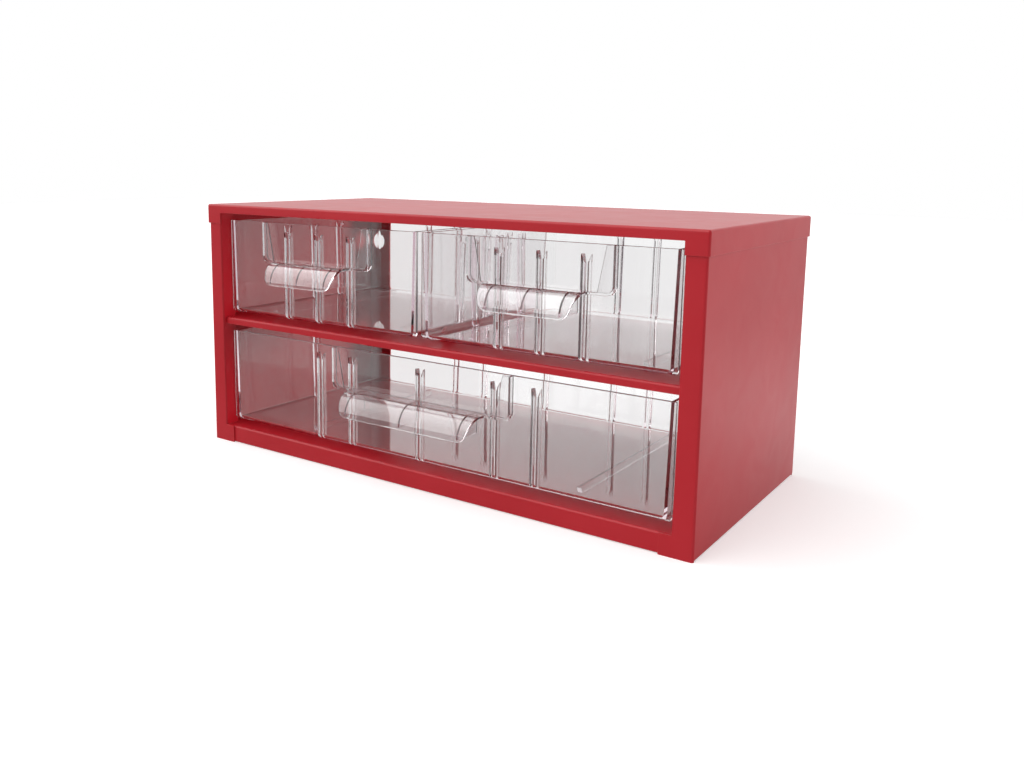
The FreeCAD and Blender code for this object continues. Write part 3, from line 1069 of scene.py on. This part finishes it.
def round_front_foot(drawer, width):
    """Cuts away what lies outside the round lower edge of the front."""
    reach = width / 2 + 1
    outline = [(-1, FRONT_FOOT), (-1, -1), (FRONT_FOOT, -1)]
    outline += arc(FRONT_FOOT, FRONT_FOOT, FRONT_FOOT, 270, 180, FOOT_STEPS)
    cutter = turned_along_x(slab("foot_cutter", outline, -reach, reach))
    modify(drawer, "BOOLEAN", operation="DIFFERENCE", object=cutter, solver="EXACT")
    settle(drawer)
    bpy.data.objects.remove(cutter)
    return drawer


def make_drawer(width, pull_width, label_width, front_slots, side_slots, runner_inset):
    others = [make_front(width), make_inner_corner(width), make_ribs(width, front_slots, side_slots)]
    others += make_pull(pull_width / 2) + make_label_frame(label_width / 2)
    others += [make_runner(side * (width / 2 - runner_inset)) for side in (-1, 1)]
    return close_pinholes(round_front_foot(unite(make_tub(width), others), width))


def place_drawer(shape, name, body, node):
    low, high = corners_mm(node)
    move = Vector(((low[0] + high[0]) / 2, low[1] + PULL_FLAT + PULL_NOSE, low[2] + RUNNER_HEIGHT)) * MM
    piece = linked(name, shape.data.copy())
    piece.data.transform(Matrix.Translation(move))
    return finished(smooth(piece), body, node, polystyrene)


upper_width = upper_high[0] - upper_low[0]
lower_width = lower_high[0] - lower_low[0]
upper = make_drawer(upper_width, UPPER_PULL, UPPER_LABEL, UPPER_SLOTS, UPPER_SLOTS, UPPER_RUNNER_INSET)
lower = make_drawer(lower_width, LOWER_PULL, LOWER_LABEL, LOWER_SLOTS, LOWER_SIDE_SLOTS, LOWER_RUNNER_INSET)
place_drawer(upper, "upper_left_moulding", "upper_left", "upper_left_drawer")
place_drawer(upper, "upper_right_moulding", "upper_right", "upper_right_drawer")
place_drawer(lower, "lower_moulding", "lower", "lower_drawer")
for shape in (upper, lower):
    bpy.data.objects.remove(shape)

# %% [markdown]
# ## Floor
#
# The cabinet stands on a pale floor that keeps its shadow. Seen directly the floor also glows a
# little, which brings it near the white background. Rays that plastic bends, and rays that gloss
# mirrors, meet levels of brightness that were chosen against the photograph.

# %% Floor
FLOOR_GLOW = 0.36
FLOOR_REACH = 3.0


def mirrored_floor(graph, y):
    """What glossy faces mirror: dim in front, brightest just behind the cabinet."""
    band = y.spread(0.08, 0.18) - y.spread(0.30, 0.50)
    return 0.12 + 0.60 * y.spread(-0.15, 0.10) + 0.30 * band


def floor_through_plastic(graph, x, far):
    """What shows through the drawers: nearly white, and less so to the right."""
    return 1.05 - 0.09 * far - 0.25 * x.spread(0.0, 0.25)


def make_floor():
    shape = bmesh.new()
    bmesh.ops.create_grid(shape, x_segments=1, y_segments=1, size=FLOOR_REACH)
    floor = mesh_object("floor", shape)
    material, graph, output = new_material("pale_floor")
    place = graph.node("ShaderNodeTexCoord").outputs["Object"]
    cloud = graph.number("ShaderNodeTexNoise", None, {"Vector": place, "Scale": 3.0, "Detail": 3.0})
    colour = graph.node("ShaderNodeMix", {"data_type": "RGBA"},
                        {0: cloud, 6: (0.80, 0.80, 0.80, 1.0), 7: (0.82, 0.82, 0.82, 1.0)})
    plain = graph.node("ShaderNodeBsdfDiffuse", None, {"Color": colour.outputs[2]})
    glow = graph.node("ShaderNodeEmission", None, {"Strength": FLOOR_GLOW})
    lifted = graph.node("ShaderNodeAddShader", None, {0: plain, 1: glow})
    x, y, _ = [Number(graph, output) for output in
               graph.node("ShaderNodeSeparateXYZ", None, {0: place}).outputs]
    away = graph.node("ShaderNodeVectorMath", {"operation": "LENGTH"}, {0: place})
    far = Number(graph, away.outputs["Value"]).spread(0.25, 0.60)
    path = graph.node("ShaderNodeLightPath").outputs
    through = Number(graph, path["Is Transmission Ray"])
    mirrored = Number(graph, path["Is Glossy Ray"]) * (1.0 - through)
    strength = through * floor_through_plastic(graph, x, far) + mirrored * mirrored_floor(graph, y)
    seen = graph.node("ShaderNodeEmission", None, {"Strength": strength})
    direct = graph.node("ShaderNodeMixShader", None, {0: path["Is Camera Ray"], 1: plain, 2: lifted})
    both = graph.node("ShaderNodeMixShader", None, {0: through.larger(mirrored), 1: direct, 2: seen})
    graph.tree.links.new(both.outputs[0], output.inputs["Surface"])
    floor.data.materials.append(material)
    print("stage:", floor.name)


make_floor()

# %% [markdown]
# ## Lamps and world
#
# A large soft lamp stands in front, to the left and high. A second one stands behind and nearly
# level, and a narrow one lights the inside: each storey is a low tunnel that only nearly level
# light reaches. The background is white: camera rays and the rays that plastic bends see the
# world at a strength of 1, where a plain white is just white. Mirrored rays see a room that is
# white behind and above and dim elsewhere. What else falls on the object comes from the lamps
# and a dimmer world.

# %% Lamps and world
SKY_LIGHT = 0.66
ROOM_SIDE = 0.12
ROOM_RIGHT = 0.3


def soft_sun(name, place, spread, strength, mirrored=True):
    """A far lamp that shines from a direction, as wide as its spread in degrees."""
    data = bpy.data.lights.new(name, "SUN")
    data.angle = math.radians(spread)
    data.energy = strength
    lamp = linked(name, data)
    lamp.visible_glossy = mirrored
    lamp.visible_transmission = mirrored
    lamp.matrix_world = (-Vector(place)).to_track_quat("-Z", "Y").to_matrix().to_4x4()


def inside_lamp(place, target, cone, softness, power):
    """A narrow lamp behind the cabinet, which lights its inside and isn't seen itself."""
    data = bpy.data.lights.new("inside", "SPOT")
    data.spot_size = math.radians(cone)
    data.spot_blend = 0.6
    data.shadow_soft_size = softness
    data.energy = power
    lamp = linked("inside", data)
    aim = (Vector(target) - Vector(place)).to_track_quat("-Z", "Y").to_matrix().to_4x4()
    lamp.matrix_world = Matrix.Translation(place) @ aim
    lamp.visible_camera = False
    lamp.visible_glossy = False
    lamp.visible_transmission = False


def make_world():
    world = bpy.data.worlds.new("white_room")
    world.use_nodes = True
    world.node_tree.nodes.clear()
    graph = Graph(world.node_tree)
    output = graph.node("ShaderNodeOutputWorld")
    path = graph.node("ShaderNodeLightPath").outputs
    direction = graph.node("ShaderNodeSeparateXYZ", None, {0: graph.node("ShaderNodeTexCoord")})
    behind = Number(graph, direction.outputs["Y"]).spread(-0.4, 0.2)
    above = Number(graph, direction.outputs["Z"]).spread(0.35, 0.6)
    right = Number(graph, direction.outputs["X"]).spread(0.0, 0.3)
    mirrored = ROOM_SIDE + (1.0 - ROOM_SIDE) * behind.larger(above) * (1.0 - ROOM_RIGHT * right)
    glossy = Number(graph, path["Is Glossy Ray"])
    seen = Number(graph, path["Is Camera Ray"]).larger(Number(graph, path["Is Transmission Ray"]))
    strength = seen + (1.0 - seen) * (glossy * mirrored + (1.0 - glossy) * SKY_LIGHT)
    light = graph.node("ShaderNodeBackground", None, {"Color": (1.0, 1.0, 1.0, 1.0), "Strength": strength})
    graph.tree.links.new(light.outputs[0], output.inputs["Surface"])
    bpy.context.scene.world = world


make_world()
soft_sun("softbox", place=(-0.57, -0.48, 0.67), spread=80, strength=1.8)
soft_sun("back", place=(0.60, 0.80, 0.06), spread=30, strength=1.7, mirrored=False)
inside_lamp(place=(0.15, 0.45, 0.10), target=(-0.152, -0.01, 0.07), cone=38, softness=0.08, power=6.0)
